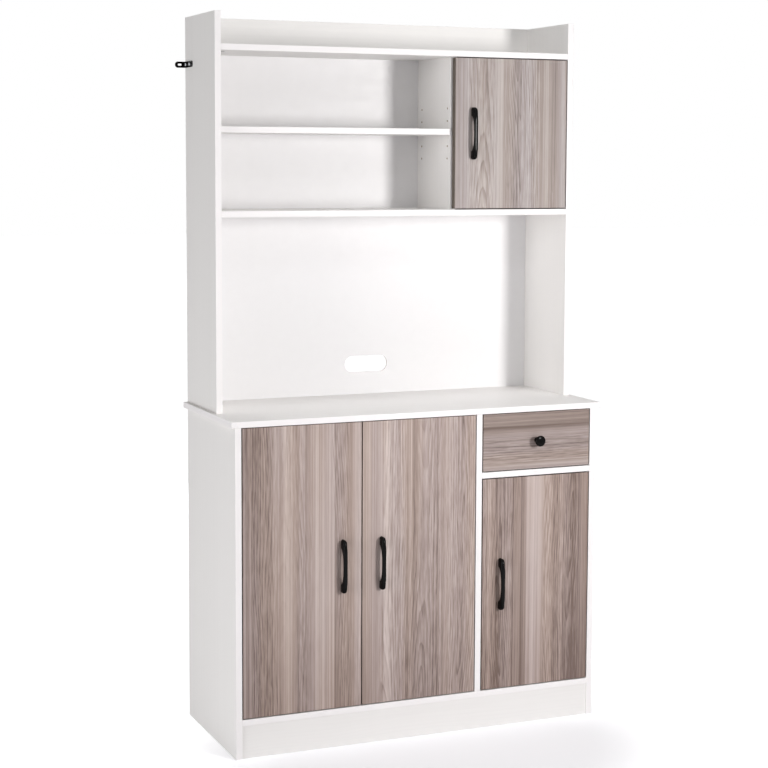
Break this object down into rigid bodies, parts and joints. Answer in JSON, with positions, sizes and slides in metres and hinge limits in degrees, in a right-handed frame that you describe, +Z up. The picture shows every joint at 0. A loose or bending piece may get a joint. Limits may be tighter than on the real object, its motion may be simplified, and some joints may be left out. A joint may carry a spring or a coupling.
{
  "type": "kitchen hutch",
  "caption": "White kitchen hutch: a low cabinet with grey oak doors and a drawer carries a worktop, and a shallower hutch above has a niche, open shelves and a cupboard.",
  "frame": {"origin": "on the floor, in the middle of the width and of the depth with the handles", "axes": "+Z up, the doors face -Y, +X to the right as seen from the front"},
  "size_m": [1.032, 0.413, 1.8],
  "materials": {
    "white_board": "satin white melamine on particle board",
    "white_hardboard": "white-faced hardboard",
    "grey_oak_board": "matt grey oak grain with darker edge band",
    "black_metal": "glossy black",
    "zinc_steel": "bright zinc plating",
    "nickel_steel": "nickel plating",
    "zinc_alloy": "cast",
    "beech": "raw",
    "clear_rubber": "soft, clear"
  },
  "bodies": {
    "cabinet": {"base_back_panel": "white_hardboard", "base_bottom_panel": "white_board", "base_divider": "white_board", "base_shelf_left": "white_board", "base_shelf_right": "white_board", "base_side_left": "white_board", "base_side_right": "white_board", "cam_bolts": "zinc_steel", "cam_discs": "zinc_alloy", "carcass_screws": "zinc_steel", "cupboard_shelf": "white_board", "drawer_rail": "white_board", "gallery_board": "white_board", "hinge_arms": "nickel_steel", "hinge_plates": "nickel_steel", "hutch_adjustable_shelf": "white_board", "hutch_divider": "white_board", "hutch_door_bumpers": "clear_rubber", "hutch_fixed_shelf": "white_board", "hutch_side_left": "white_board", "hutch_side_right": "white_board", "hutch_top_shelf": "white_board", "hutch_upper_back": "white_hardboard", "kick_board": "white_board", "niche_back": "white_hardboard", "rear_plinth_rail": "white_board", "runner_cabinet_members": "zinc_steel", "shelf_pins": "nickel_steel", "wall_bracket_left": "black_metal", "wall_bracket_right": "black_metal", "wood_dowels": "beech", "worktop": "white_board"},
    "left_door": {"left_door_panel": "grey_oak_board", "left_door_handle": "black_metal", "left_door_handle_screws": "zinc_steel", "left_door_hinge_cups": "nickel_steel"},
    "middle_door": {"middle_door_panel": "grey_oak_board", "middle_door_handle": "black_metal", "middle_door_handle_screws": "zinc_steel", "middle_door_hinge_cups": "nickel_steel"},
    "right_door": {"right_door_panel": "grey_oak_board", "right_door_handle": "black_metal", "right_door_handle_screws": "zinc_steel", "right_door_hinge_cups": "nickel_steel"},
    "hutch_door": {"hutch_door_panel": "grey_oak_board", "hutch_door_handle": "black_metal", "hutch_door_handle_screws": "zinc_steel", "hutch_door_hinge_cups": "nickel_steel"},
    "drawer": {"drawer_front": "grey_oak_board", "drawer_side_left": "white_board", "drawer_side_right": "white_board", "drawer_back": "white_board", "drawer_bottom": "white_hardboard", "drawer_dowels": "beech", "drawer_knob": "black_metal", "drawer_knob_screw": "zinc_steel", "runner_drawer_members": "zinc_steel", "drawer_runner_screws": "zinc_steel"},
    "cage_left": {"ball_cage_left": "zinc_steel"},
    "cage_right": {"ball_cage_right": "zinc_steel"}
  },
  "joints": [
    {"name": "left_door_hinge", "type": "hinge", "parent": "cabinet", "child": "left_door", "pos_m": [-0.4525, -0.173, 0.4535], "axis": [0, 0, -1], "range_deg": [0, 95]},
    {"name": "middle_door_hinge", "type": "hinge", "parent": "cabinet", "child": "middle_door", "pos_m": [0.128, -0.173, 0.4535], "axis": [0, 0, 1], "range_deg": [0, 95]},
    {"name": "right_door_hinge", "type": "hinge", "parent": "cabinet", "child": "right_door", "pos_m": [0.4525, -0.173, 0.371], "axis": [0, 0, 1], "range_deg": [0, 95]},
    {"name": "hutch_door_hinge", "type": "hinge", "parent": "cabinet", "child": "hutch_door", "pos_m": [0.4525, -0.0295, 1.513], "axis": [0, 0, 1], "range_deg": [0, 95]},
    {"name": "drawer_slide", "type": "slide", "parent": "cabinet", "child": "drawer", "axis": [0, -1, 0], "range_m": [0, 0.24]},
    {"name": "cage_left_slide", "type": "slide", "parent": "cabinet", "child": "cage_left", "axis": [0, -1, 0], "range_m": [0, 0.12]},
    {"name": "cage_right_slide", "type": "slide", "parent": "cabinet", "child": "cage_right", "axis": [0, -1, 0], "range_m": [0, 0.12]}
  ],
  "couplings": [
    {"joint": "cage_left_slide", "follows": "drawer_slide", "ratio": 0.5},
    {"joint": "cage_right_slide", "follows": "drawer_slide", "ratio": 0.5}
  ]
}
